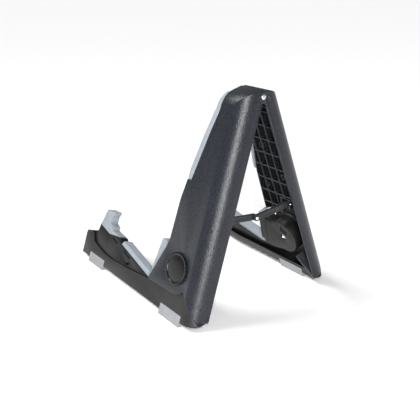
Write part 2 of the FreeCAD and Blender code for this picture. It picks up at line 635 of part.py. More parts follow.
# ---- foot cover -----------------------------------------------------------------------------
def rim_outline():
    """Side outline of the foot: tip, dipped rim, root under the lobe, joint with the leg."""
    upper, lower = joint_line(FOOT_GAP)
    return [(FOOT_TIP, TIP_TOP, TIP_ROUND), (FOOT_TIP - 17, TIP_TOP, 3),
            (FINGER_FRONT + 3, LEG_LENGTH - 18), (FINGER_FRONT - 27, LEG_LENGTH - 12, 60),
            (FINGER_FRONT - 53, LEG_LENGTH - 11.4, 60), (CRADLE_U + 40, LEG_LENGTH - 15, 60),
            (LOBE_TIP_U + 1, LEG_LENGTH - 19.5), (PIVOT_U + DISC_R, PIVOT_V + 20), upper, lower,
            (lower[0] - 0.5, LEG_LENGTH + 8, 4), (lower[0] + 10, LOW_FAR), (FOOT_TIP - 1, LOW_FAR)]


def inner_line(offset):
    """Plan line of the foot's inner face, stepping outward towards the narrow tip, as (u, w)."""
    return [(REAR_FAR, FOOT_IN + offset), (NARROW_START, FOOT_IN + offset),
            (NARROW_START + NARROW_RUN, TIP_IN + offset), (FOOT_TIP + 10, TIP_IN + offset)]


def plan_prism(corners, v_low, v_high):
    """Prism down the leg from a plan outline of (u, w) corners."""
    wire = rounded_wire(corners, lambda u, w: spot(u, v_low, w))
    return Part.Face(wire).extrude(Vector(0, 0, v_low - v_high))


def foot_cover():
    """Boat-shaped cover: outer wall with its root disc, sole, low inner wall and raised tip."""
    inset = LEG_THICK - ARM_PLATE_OUT
    body = plate(rim_outline(), FOOT_IN, ARM_PLATE_OUT).common(back_limit(inset, 0))
    body = body.common(plan_prism(inner_line(0) + [(FOOT_TIP + 10, 60), (REAR_FAR, 60)], 0, LOW_FAR))
    outer = body.common(block(REAR_FAR, FRONT_FAR, 0, LOW_FAR, ARM_OUT, ARM_PLATE_OUT))
    outer = outer.fuse(rod_across(PIVOT_U, PIVOT_V, DISC_R, ARM_OUT, ARM_PLATE_OUT))
    sole = body.common(below_height(FOOT_SOLE + SOLE_THICK))
    inner_wall = plan_prism(inner_line(0) + inner_line(INNER_WALL)[::-1], FOOT_INNER_TOP, LOW_FAR)
    tip = body.common(block(FOOT_TIP - TIP_LENGTH, FRONT_FAR, 0, LOW_FAR, TIP_IN, ARM_PLATE_OUT))
    tip = tip.cut(block(FOOT_TIP - 40, FOOT_TIP - INNER_WALL, 0, LOW_FAR, TIP_IN + INNER_WALL, ARM_OUT))
    near, far = joint_line(FOOT_GAP), joint_line(FOOT_GAP + INNER_WALL)
    rear_wall = plate([near[0], near[1], (near[1][0], LOW_FAR), (near[1][0] + INNER_WALL, LOW_FAR),
                       far[1], far[0]], FOOT_IN, ARM_PLATE_OUT)
    round_back = body.cut(back_limit(inset + INNER_WALL, INNER_WALL))
    round_back = round_back.common(block(REAR_FAR, 5, 0, LOW_FAR, FOOT_IN, ARM_PLATE_OUT))
    cover = outer.fuse([sole, body.common(inner_wall), tip, body.common(rear_wall), round_back])
    cover = cover.cut(below_height(FOOT_SOLE))
    cover = cover.cut(rod_across(PIVOT_U, PIVOT_V, POST_R + RUN_FIT, ARM_OUT - OVER, ARM_PLATE_OUT + OVER))
    for u, v in arm_screw_spots():
        sink = Part.makeCone(SCREW_R + 0.1, SCREW_HEAD_R + 0.1, SINK_DEPTH,
                             spot(u, v, SINK_START), Vector(1, 0, 0))
        cover = cover.cut(rod_across(u, v, SCREW_R + 0.05, ARM_OUT - OVER, ARM_PLATE_OUT)).cut(sink)
    for ends in (REAR_FOOT, FRONT_FOOT):
        cover = cover.cut(rubber_seat(ends))
    return cover.removeSplitter()


def rubber_seat(ends):
    """Shallow seat in the outer wall that takes a rubber foot's flange."""
    start, end = ends
    seat = block(start - 0.05, end + 0.05, 0, LOW_FAR, ARM_PLATE_OUT - RUBBER_SINK, ARM_PLATE_OUT + OVER)
    return seat.common(below_height(RUBBER_RISE + 0.05))


def rubber_foot(ends, inner_w):
    """Rubber shoe round the sole: outer flange, tread and inner flange."""
    start, end = ends
    outer = ARM_PLATE_OUT + RUBBER_PROUD
    shoe = block(start, end, 0, LOW_FAR, inner_w, outer)
    shoe = shoe.common(below_height(RUBBER_RISE)).cut(below_height(0))
    core = block(start - OVER, end + OVER, 0, LOW_FAR,
                 inner_w + RUBBER_FLANGE, ARM_PLATE_OUT - RUBBER_SINK)
    return shoe.cut(core.cut(below_height(FOOT_SOLE)))


# ---- brace ----------------------------------------------------------------------------------
def brace_pivot():
    """End pivot of the right link in the open stand, as (x, z)."""
    return (BRACE_V * SIN + BRACE_W * COS, HINGE_HEIGHT - BRACE_V * COS + BRACE_W * SIN)


def brace_angle():
    """Slope of an open link below the level, degrees, and its length."""
    x, _ = brace_pivot()
    return math.degrees(math.atan2(BRACE_SAG, x)), math.hypot(x, BRACE_SAG)


def bracket():
    """Clevis bracket on the ribbed panel's lower end."""
    top = PANEL_END_REAR + 0.2
    low = BRACE_V + 7
    base = block(CHEEK_REAR - CHEEK, CHEEK_FRONT + CHEEK, top - 9, low,
                 BRACKET_FLOOR, BRACKET_FLOOR + BRACKET_THICK)
    for start in (CHEEK_REAR - CHEEK, CHEEK_FRONT):
        base = base.fuse(block(start, start + CHEEK, top, low, PANEL_IN, BRACKET_FLOOR))
    bore = rod_along(BRACE_W, BRACE_V, BRACE_PIN_R + RUN_FIT, REAR_FAR, FRONT_FAR)
    return base.cut(bore).removeSplitter()


def brace_end_pin():
    return rod_along(BRACE_W, BRACE_V, BRACE_PIN_R, CHEEK_REAR - CHEEK + 0.3, CHEEK_FRONT + CHEEK - 0.3)


def link_planes(side):
    """Rear and front faces of a link's bar."""
    half = (BRACE_WIDTH - BAR_GAP) / 2
    if side == "left":
        return BRACE_REAR, BRACE_REAR + half
    return BRACE_REAR + half + BAR_GAP, BRACE_REAR + BRACE_WIDTH


def brace_link(side):
    """Open link of the right side in stand measures: bar, wide foot and pin holes."""
    rear, front = link_planes(side)
    slope, length = brace_angle()
    x, z = brace_pivot()

    def slab(corners, y_rear, y_front):
        wire = rounded_wire(corners, lambda along, up: Vector(-along, -y_rear, up))
        return Part.Face(wire).extrude(Vector(0, y_rear - y_front, 0))

    def bore(radius, along, y_rear, y_front):
        return Part.makeCylinder(radius, y_front - y_rear, Vector(-along, -y_rear, 0), Vector(0, -1, 0))

    half, neck = LINK_HALF, LINK_SHOULDER
    link = slab([(0, -LINK_END_R), (neck, -half, 3), (length, -half), (length, half),
                 (neck, half, 3), (0, LINK_END_R)], rear, front)
    link = link.fuse([bore(LINK_END_R, 0, rear, front), bore(half, length, rear, front)])
    wide = slab([(0, LINK_END_R), (0, -LINK_END_R), (neck, -half, 3), (LINK_WIDE, -half),
                 (LINK_WIDE - 3, 0.3)], BRACE_REAR, BRACE_REAR + BRACE_WIDTH)
    link = link.fuse([wide, bore(LINK_END_R, 0, BRACE_REAR, BRACE_REAR + BRACE_WIDTH)])
    waist = half - 1.5
    waist_end = length - 8
    link = link.cut(slab([(LINK_WIDE + 4, -waist, 1), (waist_end, -waist, 1), (waist_end, waist, 1),
                          (LINK_WIDE + 4, waist, 1)], rear - OVER, rear + 1.0))
    hole = BRACE_PIN_R + (RUN_FIT if side == "left" else OPEN_PIVOT)
    link = link.cut([bore(BRACE_PIN_R + RUN_FIT, 0, 0, FRONT_FAR), bore(hole, length, 0, FRONT_FAR)])
    link.rotate(Vector(0, 0, 0), Vector(0, 1, 0), -slope)
    link.translate(Vector(x, Y_SHIFT, z))
    return link.removeSplitter()


def brace_center_pin():
    """Headed pin in the left link, ending short of the right link's bar."""
    _, z = brace_pivot()
    rear, front = link_planes("left")
    pin = Part.makeCylinder(BRACE_PIN_R, front - rear, Vector(0, -rear, 0), Vector(0, -1, 0))
    head = Part.makeCylinder(BRACE_HEAD_R, PIN_HEAD, Vector(0, PIN_HEAD - rear, 0), Vector(0, -1, 0))
    pin = pin.fuse(head)
    pin.translate(Vector(0, Y_SHIFT, z - BRACE_SAG))
    return pin


def hinge_pin():
    pin = rod_along(0, 0, HINGE_PIN_R, 0.2, BARREL_LENGTH - 0.2)
    for start in (0.05, BARREL_LENGTH - PIN_HEAD):
        pin = pin.fuse(rod_along(0, 0, PIN_HEAD_R, start, start + PIN_HEAD - 0.05))
    return pin


# ---- assembly -------------------------------------------------------------------------------
def stand_up(shape, side):
    """Swing a closed right-leg shape open, stand it up, and mirror it for the left side."""
    placed = shape.copy()
    placed.rotate(Vector(0, 0, 0), Vector(0, 1, 0), -SPLAY)
    placed.translate(Vector(0, Y_SHIFT, HINGE_HEIGHT))
    if side == "left":
        placed = placed.mirror(Vector(0, 0, 0), Vector(1, 0, 0))
    return placed


def mirrored(shape, side):
    if side == "left":
        return shape.mirror(Vector(0, 0, 0), Vector(1, 0, 0))
    return shape


def save(name, shape):
    os.makedirs("parts", exist_ok=True)
    shape.exportStep(f"parts/{name}.step")
    print(f"{name:26s} solids {len(shape.Solids)}  volume {shape.Volume:9.1f}  valid {shape.isValid()}")


def build():
    for side in ("right", "left"):
        pieces = {
            "leg_shell": leg_shell(side),
            "inner_panel": inner_panel(),
            "panel_screws": panel_screws(),
            "upper_pad": upper_pad(),
            "boss_cap": boss_cap(),
            "cradle_arm": cradle_arm(),
            "arm_screws": arm_screws(),
            "hub_cover": hub_cover(),
            "finger_pad": finger_pad(),
            "post_pad": post_pad(),
            "hook_pad": hook_pad(),
            "hook_pin": hook_pin(),
            "wave_washer": wave_washer(),
            "pivot_screw": pivot_screw(),
            "foot_cover": foot_cover(),
            "rear_rubber_foot": rubber_foot(REAR_FOOT, FOOT_IN - RUBBER_FLANGE),
            "front_rubber_foot": rubber_foot(FRONT_FOOT, TIP_IN - RUBBER_FLANGE),
            "brace_bracket": bracket(),
            "brace_end_pin": brace_end_pin(),
        }
        for name, shape in pieces.items():
            save(f"{side}_{name}", stand_up(shape, side))
        save(f"{side}_brace_link", mirrored(brace_link(side), side))
    save("hinge_pin", stand_up(hinge_pin(), "right"))
    save("brace_center_pin", brace_center_pin())


build()
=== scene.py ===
# %% [markdown]
# # A folding A-frame instrument stand
# The stand is two hollow plastic legs on a hinge, a folding brace between them, and a cradle arm
# with rubber pads on each leg. The CAD model already fixes every size and every joint, so this
# lesson only gives it its looks. It starts by loading that model.

# %% Load the frame
import json
import math
import bmesh
import bpy
from mathutils import Matrix, Vector
from mathutils.bvhtree import BVHTree


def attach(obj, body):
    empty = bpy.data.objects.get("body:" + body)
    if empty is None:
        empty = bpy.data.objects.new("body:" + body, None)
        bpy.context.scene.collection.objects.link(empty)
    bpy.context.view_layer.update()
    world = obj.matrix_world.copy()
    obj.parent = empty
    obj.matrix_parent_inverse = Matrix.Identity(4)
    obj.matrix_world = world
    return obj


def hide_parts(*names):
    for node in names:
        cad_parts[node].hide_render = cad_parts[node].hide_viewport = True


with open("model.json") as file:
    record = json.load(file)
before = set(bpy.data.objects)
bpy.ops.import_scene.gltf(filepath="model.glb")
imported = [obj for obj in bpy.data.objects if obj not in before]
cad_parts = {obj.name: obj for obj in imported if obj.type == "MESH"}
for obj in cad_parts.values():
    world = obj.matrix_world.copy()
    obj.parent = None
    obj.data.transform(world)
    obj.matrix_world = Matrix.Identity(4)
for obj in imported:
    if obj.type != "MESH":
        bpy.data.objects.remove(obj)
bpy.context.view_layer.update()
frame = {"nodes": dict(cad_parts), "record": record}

# %% [markdown]
# ## One way to write places
# A leg is easiest to describe lying closed: `u` runs forward along the hinge, `v` runs down the
# leg, and `w` runs outward. One function turns those three into a point of the open stand. The
# stand opens by the same angle on both sides, so `side` is +1 for the right leg and -1 for the
# left one.

# %% From leg measures to the stand
MM = 0.001
SPLAY = math.radians(19.35)
HINGE_HEIGHT = 265.0
HINGE_REAR = 124.25
SIDES = {"right": 1, "left": -1}


def leg_matrix(side):
    """Turns millimetres along (u, v, w) of a closed leg into metres of the open stand."""
    sine, cosine = math.sin(SPLAY), math.cos(SPLAY)
    return Matrix(((0, side * sine * MM, side * cosine * MM, 0),
                   (-MM, 0, 0, HINGE_REAR * MM),
                   (0, -cosine * MM, sine * MM, HINGE_HEIGHT * MM),
                   (0, 0, 0, 1)))


print("hinge axis starts at", leg_matrix(1) @ Vector((0, 0, 0)))

# %% [markdown]
# ## Colours and shader nodes
# Colours are written as sRGB hex values, but the renderer works in linear light, so one function
# converts them. A second small function adds a node with its settings and its links, which keeps
# each material short enough to read as a recipe.

# %% Two helpers for materials
def linear(code):
    """Linear colour from an sRGB hex code."""
    channels = [int(code[i:i + 2], 16) / 255 for i in (1, 3, 5)]
    return [c / 12.92 if c <= 0.04045 else ((c + 0.055) / 1.055) ** 2.4 for c in channels] + [1]


def add(tree, kind, inputs=None, **settings):
    """Adds a node to a tree; an input is either a value or another node's output to link."""
    node = tree.nodes.new(kind)
    for name, value in settings.items():
        setattr(node, name, value)
    for name, value in (inputs or {}).items():
        if isinstance(value, bpy.types.NodeSocket):
            tree.links.new(value, node.inputs[name])
        else:
            node.inputs[name].default_value = value
    return node


def blank_material(name):
    """A new material and its empty node tree."""
    material = bpy.data.materials.new(name)
    material.use_nodes = True
    material.node_tree.nodes.clear()
    return material, material.node_tree


print("charcoal in linear light:", [round(c, 3) for c in linear("#14161a")])

# %% [markdown]
# ## Moulded plastic
# Nearly all of the stand is injection-moulded ABS. The mould is spark-eroded, which leaves a fine
# leathery grain on the part: shallow pits, a satin shine, and a faint mottle in the colour. Every
# edge is painted paler: a painted highlight where light would catch the edge radius. The grain is
# really about 0.5 mm wide, which is too fine to show in a whole view, so each recipe says how
# coarse it is drawn. The recipe is the same for every colour of ABS, so it is a function of the
# colour, the grain, the shine and the painted edge highlight.

# %% A recipe for moulded ABS
CLOUD_MM = 45         # size of the mottle
EDGE_MM = 0.9         # width of the painted edge highlight


def moulded_abs(name, dark, light, edge_highlight, grain_mm, depth_mm, roughness):
    """Grained plastic between two colours, with a third painted on the edges as a painted
    highlight.
    """
    material, tree = blank_material(name)
    place = add(tree, "ShaderNodeTexCoord").outputs["Object"]
    grain = add(tree, "ShaderNodeTexNoise", {"Vector": place, "Scale": 1 / (grain_mm * MM),
                                             "Detail": 2.0, "Roughness": 0.6})
    cloud = add(tree, "ShaderNodeTexNoise", {"Vector": place, "Scale": 1 / (CLOUD_MM * MM),
                                             "Detail": 3.0})
    speckle = add(tree, "ShaderNodeMapRange", {"Value": grain.outputs["Fac"], "From Min": 0.35,
                                               "From Max": 0.68})
    mottle = add(tree, "ShaderNodeMapRange", {"Value": cloud.outputs["Fac"], "From Min": 0.3,
                                              "From Max": 0.7, "To Min": -0.2, "To Max": 0.2})
    tone = add(tree, "ShaderNodeMath", {0: speckle.outputs["Result"], 1: mottle.outputs["Result"]},
               operation="ADD", use_clamp=True)
    colour = add(tree, "ShaderNodeMix", {"Factor": tone.outputs["Value"], "A": linear(dark),
                                         "B": linear(light)}, data_type="RGBA")
    # Painted highlight: near each edge, the colour is mixed towards a paler one, where light would
    # catch the edge radius.
    rounded = add(tree, "ShaderNodeBevel", {"Radius": EDGE_MM * MM}, samples=4)
    flat = add(tree, "ShaderNodeNewGeometry")
    edge = add(tree, "ShaderNodeVectorMath", {0: rounded.outputs["Normal"],
                                              1: flat.outputs["Normal"]}, operation="DOT_PRODUCT")
    edge_highlight_mask = add(tree, "ShaderNodeMapRange", {"Value": edge.outputs["Value"], "From Min": 0.99,
                                           "From Max": 0.86, "To Max": 0.55})
    finish = add(tree, "ShaderNodeMix", {"Factor": edge_highlight_mask.outputs["Result"],
                                         "A": colour.outputs["Result"], "B": linear(edge_highlight)},
                 data_type="RGBA")
    gloss = add(tree, "ShaderNodeMapRange", {"Value": grain.outputs["Fac"], "From Min": 0.3,
                                             "From Max": 0.7, "To Min": roughness - 0.07,
                                             "To Max": roughness + 0.07})
    pits = add(tree, "ShaderNodeBump", {"Height": grain.outputs["Fac"], "Distance": depth_mm * MM,
                                        "Strength": 0.8})
    shader = add(tree, "ShaderNodeBsdfPrincipled", {"Base Color": finish.outputs["Result"],
                                                    "IOR": 1.53, "Specular IOR Level": 0.3,
                                                    "Roughness": gloss.outputs["Result"],
                                                    "Normal": pits.outputs["Normal"]})
    add(tree, "ShaderNodeOutputMaterial", {"Surface": shader.outputs["BSDF"]})
    return material


# The third colour in each call is the painted edge highlight.
# The leg's grain is drawn 1.3 mm wide, more than twice the real one, so that it shows.
charcoal_abs = moulded_abs("grained charcoal ABS", "#14161a", "#21242c", "#444852", 1.3, 0.40, 0.30)
# The foot cover has the same grain in a neutral grey, finer and flatter.
grey_abs = moulded_abs("grained dark grey ABS", "#171717", "#282828", "#565656", 1.2, 0.15, 0.44)
# The arm is smoother and nearly black.
black_abs = moulded_abs("satin black ABS", "#0a090a", "#131213", "#343233", 1.0, 0.08, 0.38)
# The ribbed panel is plain black ABS, unpainted and seldom touched.
panel_abs = moulded_abs("black ABS panel", "#08090b", "#0e0f12", "#50535a", 1.0, 0.06, 0.40)
# The brace is glass-filled nylon, whose fibres leave a dull, slightly cloudy face.
brace_nylon = moulded_abs("glass-filled nylon", "#161617", "#2c2c2e", "#56565a", 1.4, 0.12, 0.48)
# The hub cover is a warm dark grey ABS.
hub_abs = moulded_abs("warm grey ABS", "#0b0b0a", "#141413", "#3c3c38", 1.2, 0.10, 0.50)
print("plastics:", [m.name for m in bpy.data.materials if "ABS" in m.name or "nylon" in m.name])

# %% [markdown]
# ## Rubber
# The pads and feet are thermoplastic rubber, a soft plastic that feels dry. It scatters light
# softly and has almost no shine. It picks up dust, so its grey is uneven, and the tool leaves fine
# parallel lines about 0.6 mm apart. They are drawn 1.5 mm apart here so that they show.

# %% A recipe for rubber
DUST_MM = 9           # size of the dusty patches
PORE_MM = 0.9         # size of the finest unevenness


def moulded_rubber(name, dark, light, line_mm, direction):
    """Dry grey rubber with fine lines at right angles to a direction."""
    material, tree = blank_material(name)
    place = add(tree, "ShaderNodeTexCoord").outputs["Object"]
    dust = add(tree, "ShaderNodeTexNoise", {"Vector": place, "Scale": 1 / (DUST_MM * MM),
                                            "Detail": 5.0, "Roughness": 0.65})
    fine = add(tree, "ShaderNodeTexNoise", {"Vector": place, "Scale": 1 / (PORE_MM * MM),
                                            "Detail": 1.0})
    along = add(tree, "ShaderNodeVectorMath", {0: place, 1: direction}, operation="DOT_PRODUCT")
    turn = add(tree, "ShaderNodeMath", {0: along.outputs["Value"], 1: 2 * math.pi / (line_mm * MM)},
               operation="MULTIPLY")
    wave = add(tree, "ShaderNodeMath", {0: turn.outputs["Value"]}, operation="SINE")
    colour = add(tree, "ShaderNodeMix", {"Factor": dust.outputs["Fac"], "A": linear(dark),
                                         "B": linear(light)}, data_type="RGBA")
    height = add(tree, "ShaderNodeMath", {0: wave.outputs["Value"], 1: 0.35,
                                          2: fine.outputs["Fac"]}, operation="MULTIPLY_ADD")
    relief = add(tree, "ShaderNodeBump", {"Height": height.outputs["Value"], "Distance": 0.08 * MM,
                                          "Strength": 0.6})
    dull = add(tree, "ShaderNodeMapRange", {"Value": dust.outputs["Fac"], "To Min": 0.62,
                                            "To Max": 0.8})
    shader = add(tree, "ShaderNodeBsdfPrincipled", {"Base Color": colour.outputs["Result"],
                                                    "IOR": 1.5, "Specular IOR Level": 0.35,
                                                    "Roughness": dull.outputs["Result"],
                                                    "Sheen Weight": 0.15, "Sheen Roughness": 0.4,
                                                    "Normal": relief.outputs["Normal"]})
    add(tree, "ShaderNodeOutputMaterial", {"Surface": shader.outputs["BSDF"]})
    return material


grip_rubber = moulded_rubber("light grey grip rubber", "#70767d", "#8b9299", 1.5, (0.3, 0.0, 0.95))
foot_rubber = moulded_rubber("light grey foot rubber", "#6f7074", "#8b8c90", 1.5, (0.0, 0.0, 1.0))

# %% [markdown]
# ## Bright metal
# Screws and pins are zinc-plated steel: a thin bright coat that is slightly blue and slightly
# uneven. Fine turning marks run round the heads, and they are too fine to show, so a soft noise
# stands in for them. The spring washer is bare hardened steel, which is darker.

# %% A recipe for plated steel
MARK_MM = 0.7         # size of the faint marks


def plated_steel(name, dark, light, roughness):
    """Bright metal with faint marks in its colour and its polish."""
    material, tree = blank_material(name)
    place = add(tree, "ShaderNodeTexCoord").outputs["Object"]
    marks = add(tree, "ShaderNodeTexNoise", {"Vector": place, "Scale": 1 / (MARK_MM * MM),
                                             "Detail": 3.0})
    colour = add(tree, "ShaderNodeMix", {"Factor": marks.outputs["Fac"], "A": linear(dark),
                                         "B": linear(light)}, data_type="RGBA")
    polish = add(tree, "ShaderNodeMapRange", {"Value": marks.outputs["Fac"],
                                              "To Min": roughness - 0.08,
                                              "To Max": roughness + 0.08})
    ripple = add(tree, "ShaderNodeBump", {"Height": marks.outputs["Fac"], "Distance": 0.02 * MM,
                                          "Strength": 0.4})
    shader = add(tree, "ShaderNodeBsdfPrincipled", {"Base Color": colour.outputs["Result"],
                                                    "Metallic": 1.0,
                                                    "Roughness": polish.outputs["Result"],
                                                    "Normal": ripple.outputs["Normal"]})
    add(tree, "ShaderNodeOutputMaterial", {"Surface": shader.outputs["BSDF"]})
    return material


zinc_steel = plated_steel("zinc-plated steel", "#b9bcc2", "#e2e4e8", 0.28)
spring_steel = plated_steel("hardened spring steel", "#6f7278", "#8f9298", 0.35)
black_steel = plated_steel("blackened screw steel", "#1c1d20", "#2e3034", 0.42)

# %% [markdown]
# ## The cap
# The cap over each pivot is polished ABS with no grain. Only fine scuffs break its shine, so its
# roughness changes a little and its colour hardly at all.

# %% Polished black ABS
polished_abs, cap_tree = blank_material("polished black ABS")
cap_place = add(cap_tree, "ShaderNodeTexCoord").outputs["Object"]
scuff = add(cap_tree, "ShaderNodeTexNoise", {"Vector": cap_place, "Scale": 1 / (2.5 * MM),
                                             "Detail": 6.0, "Roughness": 0.7, "Distortion": 1.5})
cap_gloss = add(cap_tree, "ShaderNodeMapRange", {"Value": scuff.outputs["Fac"], "From Min": 0.35,
                                                 "From Max": 0.75, "To Min": 0.14, "To Max": 0.30})
cap_colour = add(cap_tree, "ShaderNodeMix", {"Factor": scuff.outputs["Fac"],
                                             "A": linear("#030303"), "B": linear("#0a0a08")},
                 data_type="RGBA")
cap_relief = add(cap_tree, "ShaderNodeBump", {"Height": scuff.outputs["Fac"],
                                              "Distance": 0.01 * MM, "Strength": 0.3})
cap_shader = add(cap_tree, "ShaderNodeBsdfPrincipled", {"Base Color": cap_colour.outputs["Result"],
                                                        "IOR": 1.53, "Specular IOR Level": 0.35,
                                                        "Roughness": cap_gloss.outputs["Result"],
                                                        "Normal": cap_relief.outputs["Normal"]})
add(cap_tree, "ShaderNodeOutputMaterial", {"Surface": cap_shader.outputs["BSDF"]})
print("finishes:", len(bpy.data.materials))

# %% [markdown]
# ## Softened edges
# A moulding never has a knife edge: the tool leaves a radius of a few tenths of a millimetre, and
# that radius is what catches the light. Each plastic part is copied from its CAD node, its loose
# triangles are joined into larger faces, and a Bevel modifier rounds every edge that turns by more
# than 35 degrees. Where edges crowd together a bevel can throw a point out, so every point that
# lies further off the CAD surface than the radius is put back on it.

# %% Round the edges of a copy
def plain_mesh(worker, name, material):
    """Turns an object with modifiers into a new plain piece, and removes the worker."""
    graph = bpy.context.evaluated_depsgraph_get()
    mesh = bpy.data.meshes.new_from_object(worker.evaluated_get(graph))
    bpy.data.objects.remove(worker)
    mesh.name = name
    mesh.materials.clear()
    mesh.materials.append(material)
    piece = bpy.data.objects.new(name, mesh)
    bpy.context.collection.objects.link(piece)
    return piece


def joined_copy(node):
    """A worker object with a CAD node's shape, its loose triangles merged into larger faces."""
    shape = bmesh.new()
    shape.from_mesh(frame["nodes"][node].data)
    bmesh.ops.remove_doubles(shape, verts=shape.verts, dist=0.002 * MM)
    bmesh.ops.join_triangles(shape, faces=shape.faces, angle_face_threshold=math.radians(0.5),
                             angle_shape_threshold=math.radians(180))
    mesh = bpy.data.meshes.new(node + " joined")
    shape.to_mesh(mesh)
    shape.free()
    worker = bpy.data.objects.new(mesh.name, mesh)
    bpy.context.collection.objects.link(worker)
    return worker


def surface_of(worker):
    """Search tree of a worker's surface, to find its nearest point to a place."""
    return BVHTree.FromPolygons([v.co for v in worker.data.vertices],
                                [p.vertices for p in worker.data.polygons])


def softened(node, name, material, radius_mm):
    """A plain piece with a CAD node's shape and rounded edges."""
    worker = joined_copy(node)
    surface = surface_of(worker)
    bevel = worker.modifiers.new("edge radius", "BEVEL")
    bevel.width = radius_mm * MM
    bevel.segments = 2
    bevel.limit_method = "ANGLE"
    bevel.angle_limit = math.radians(35)
    bevel.use_clamp_overlap = False
    piece = plain_mesh(worker, name, material)
    for vertex in piece.data.vertices:
        nearest, _, _, gap = surface.find_nearest(vertex.co)
        if gap > radius_mm * MM:
            vertex.co = nearest
    piece.data.shade_smooth()
    piece.data.set_sharp_from_angle(angle=math.radians(32))
    return piece


BODIES = frame["record"]["behaviour"]["bodies"]
NODE_BODY = {node: body for body, nodes in BODIES.items() for node in nodes}


def fit(piece, node):
    """Puts a piece in the place of a CAD node: same body, and the node hidden."""
    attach(piece, NODE_BODY[node])
    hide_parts(node)
    return piece


# Each moulding's finish, and its edge radius in millimetres.
MOULDINGS = {"leg_shell": (charcoal_abs, 0.5), "foot_cover": (grey_abs, 0.4),
             "cradle_arm": (black_abs, 0.35), "hub_cover": (hub_abs, 0.3),
             "brace_bracket": (panel_abs, 0.3), "brace_link": (brace_nylon, 0.3),
             "upper_pad": (grip_rubber, 0.5), "finger_pad": (grip_rubber, 0.7),
             "post_pad": (grip_rubber, 0.7), "hook_pad": (grip_rubber, 0.7),
             "rear_rubber_foot": (foot_rubber, 0.5), "front_rubber_foot": (foot_rubber, 0.5)}
for side in SIDES:
    for part, (material, radius) in MOULDINGS.items():
        node = f"{side}_{part}"
        piece = fit(softened(node, f"{side}_{part}_moulding", material, radius), node)
        print(f"{piece.name}: {len(piece.data.polygons)} faces")

# %% [markdown]
# ## The ribbed panel
# Each leg is closed on its inner side by a thin black panel, stiffened by a lattice of ribs. The
# plate is its outline filled and given a thickness. The ribs repeat at a fixed pitch, so they suit
# Geometry Nodes: each rib is one line of a small mesh, and the tree sweeps a rounded bar along
# every line. The lines stop at the panel's curved front edge, so they are cut to it first.

# %% The panel's outline and the rib lines
RIB_PITCH = (14.0, 20.3)      # between ribs that run down, and between ribs that run across
UPRIGHTS = 4
RIB_HALF = 0.6
PANEL_TOP, PANEL_END = 13.0, 147.0
# The front edge and the stepped lower end, as (v, u) points.
PANEL_FRONT = [(13.0, 34.0), (27.0, 35.2), (56.0, 41.8), (80.0, 46.6), (116.5, 52.6), (177.0, 53.6)]
PANEL_STEP = [(177.0, 53.6), (172.0, 42.6), (172.0, 18.1), (147.0, 18.1)]
FRONT_LEVELS = [20, 27, 36, 46, 56, 68, 80, 98, 116.5, 146]
PANEL_REAR = 2.6
BACK_SLOPE = 13.5 / 278.0     # the rear edge leans rearward on its way down


def panel_front(v):
    """Front edge of the panel at a distance down the leg."""
    for (v0, u0), (v1, u1) in zip(PANEL_FRONT, PANEL_FRONT[1:]):
        if v <= v1:
            return u0 + (u1 - u0) * (v - v0) / (v1 - v0)
    return PANEL_FRONT[-1][1]


def panel_rear(v):
    """Rear edge of the panel at a distance down the leg."""
    return PANEL_REAR - BACK_SLOPE * v


def panel_end(u):
    """Lower end of the panel at a distance forward."""
    if u < PANEL_STEP[2][1]:
        return PANEL_END
    step = max(0.0, u - PANEL_STEP[1][1]) / (PANEL_STEP[0][1] - PANEL_STEP[1][1])
    return PANEL_STEP[1][0] + step * (PANEL_STEP[0][0] - PANEL_STEP[1][0])


def rib_lines():
    """Rib centre lines as pairs of (u, v) points."""
    half = RIB_HALF
    top = PANEL_TOP + half
    lines = []
    v = RIB_PITCH[1] + half
    while v < PANEL_STEP[0][0] - 2:
        rear = PANEL_STEP[2][1] if v > PANEL_END else panel_rear(v)
        lines.append(((rear + half, v), (panel_front(v) - half, v)))
        v += RIB_PITCH[1]
    for step in range(UPRIGHTS):
        offset = PANEL_REAR + half + step * RIB_PITCH[0]
        upright = [(offset - BACK_SLOPE * v / 2, v / 2) for v in range(27, 352)]
        inside = [(u, v) for u, v in upright
                  if u < panel_front(v) - half and v < panel_end(u) - half]
        lines.append((inside[0], inside[-1]))
    front = [(panel_front(v) - half, v) for v in [top] + FRONT_LEVELS + [PANEL_STEP[0][0] - half]]
    low = [(panel_rear(PANEL_END) + half, PANEL_END - half), (17.5, PANEL_END - half),
           (18.7, 171.4), (42.6, 171.4), (53.0, 176.4)]
    for chain in (front, low):
        lines += list(zip(chain, chain[1:]))
    lines.append(((panel_rear(top) + half, top), (panel_front(top) - half, top)))
    return lines


print("rib lines:", len(rib_lines()))

# %% A tree that sweeps a rounded bar along every line
EDGE_RADIUS = 0.25


def new_tree(name, sizes):
    """A geometry tree with a geometry input, named float inputs in metres, and a material input."""
    tree = bpy.data.node_groups.new(name, "GeometryNodeTree")
    tree.interface.new_socket("Geometry", in_out="INPUT", socket_type="NodeSocketGeometry")
    for label, value in sizes.items():
        kind = "NodeSocketInt" if isinstance(value, int) else "NodeSocketFloat"
        tree.interface.new_socket(label, in_out="INPUT", socket_type=kind).default_value = value
    tree.interface.new_socket("Material", in_out="INPUT", socket_type="NodeSocketMaterial")
    tree.interface.new_socket("Geometry", in_out="OUTPUT", socket_type="NodeSocketGeometry")
    return tree, tree.nodes.new("NodeGroupInput").outputs


def close_tree(tree, geometry, material):
    """Ends a tree in Realize Instances and Set Material."""
    real = add(tree, "GeometryNodeRealizeInstances", {"Geometry": geometry})
    painted = add(tree, "GeometryNodeSetMaterial", {"Geometry": real.outputs["Geometry"],
                                                    "Material": material})
    add(tree, "NodeGroupOutput", {"Geometry": painted.outputs["Geometry"]})


def grow(worker, tree, values):
    """Puts a tree on a worker object and sets its inputs by their identifiers."""
    modifier = worker.modifiers.new(tree.name, "NODES")
    modifier.node_group = tree
    for item in tree.interface.items_tree:
        if item.in_out == "INPUT" and item.name in values:
            modifier[item.identifier] = values[item.name]


